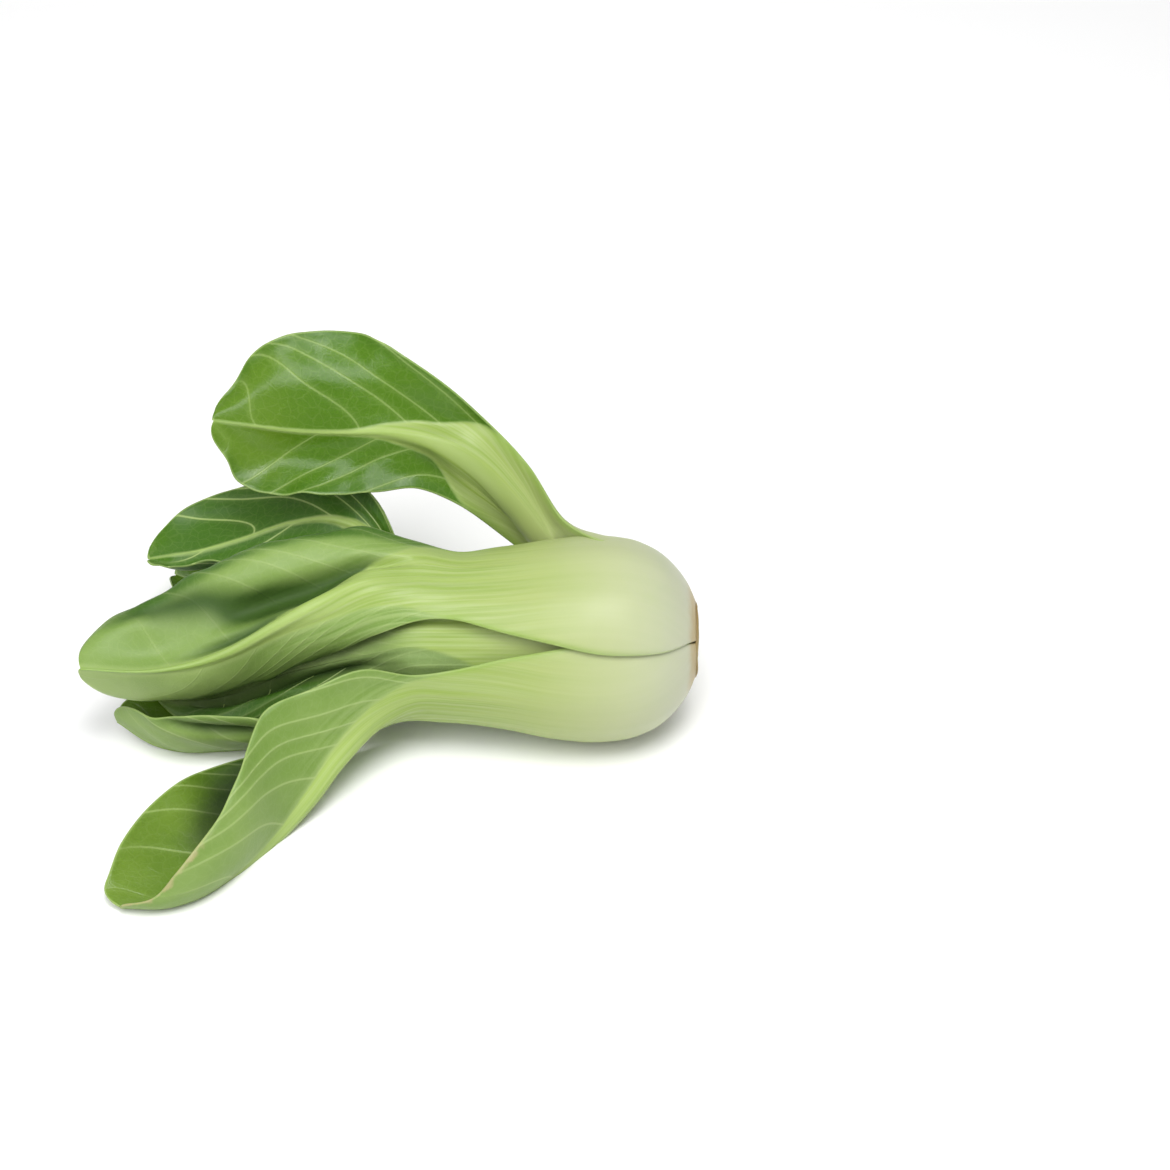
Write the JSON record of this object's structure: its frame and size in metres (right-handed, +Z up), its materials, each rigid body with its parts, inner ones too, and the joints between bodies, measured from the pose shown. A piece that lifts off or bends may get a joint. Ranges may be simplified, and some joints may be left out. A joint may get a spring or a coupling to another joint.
{
  "type": "leafy_vegetable_head",
  "caption": "Whole head of baby bok choy lying on its side: thick pale stalks swell into a bulb above the cut butt, and green spoon-shaped blades spread out past a narrow waist.",
  "frame": {"origin": "bottom centre of the bounding box, on the surface the head lies on", "axes": "+Z up, +X from the leaf tips to the cut butt, -Y the front seen in the picture"},
  "size_m": [0.2086, 0.1856, 0.1213],
  "materials": {
    "stalk": "satin, pale green to white, smooth waxy skin",
    "blade": "satin, mid to dark green leaf with pale veins",
    "stem": "matte, cut pale flesh with a tan rim"
  },
  "bodies": {
    "root": {"leaf_01_stalk": "stalk", "leaf_01_blade": "blade", "leaf_02_stalk": "stalk", "leaf_02_blade": "blade", "leaf_03_stalk": "stalk", "leaf_03_blade": "blade", "leaf_04_stalk": "stalk", "leaf_04_blade": "blade", "leaf_05_stalk": "stalk", "leaf_05_blade": "blade", "leaf_06_stalk": "stalk", "leaf_06_blade": "blade", "leaf_07_stalk": "stalk", "leaf_07_blade": "blade", "leaf_08_stalk": "stalk", "leaf_08_blade": "blade", "leaf_09_stalk": "stalk", "leaf_09_blade": "blade", "leaf_10_stalk": "stalk", "leaf_10_blade": "blade", "leaf_11_stalk": "stalk", "leaf_11_blade": "blade", "leaf_12_stalk": "stalk", "leaf_12_blade": "blade", "leaf_13_stalk": "stalk", "leaf_13_blade": "blade", "leaf_14_stalk": "stalk", "leaf_14_blade": "blade", "stem_core": "stem"}
  },
  "joints": []
}
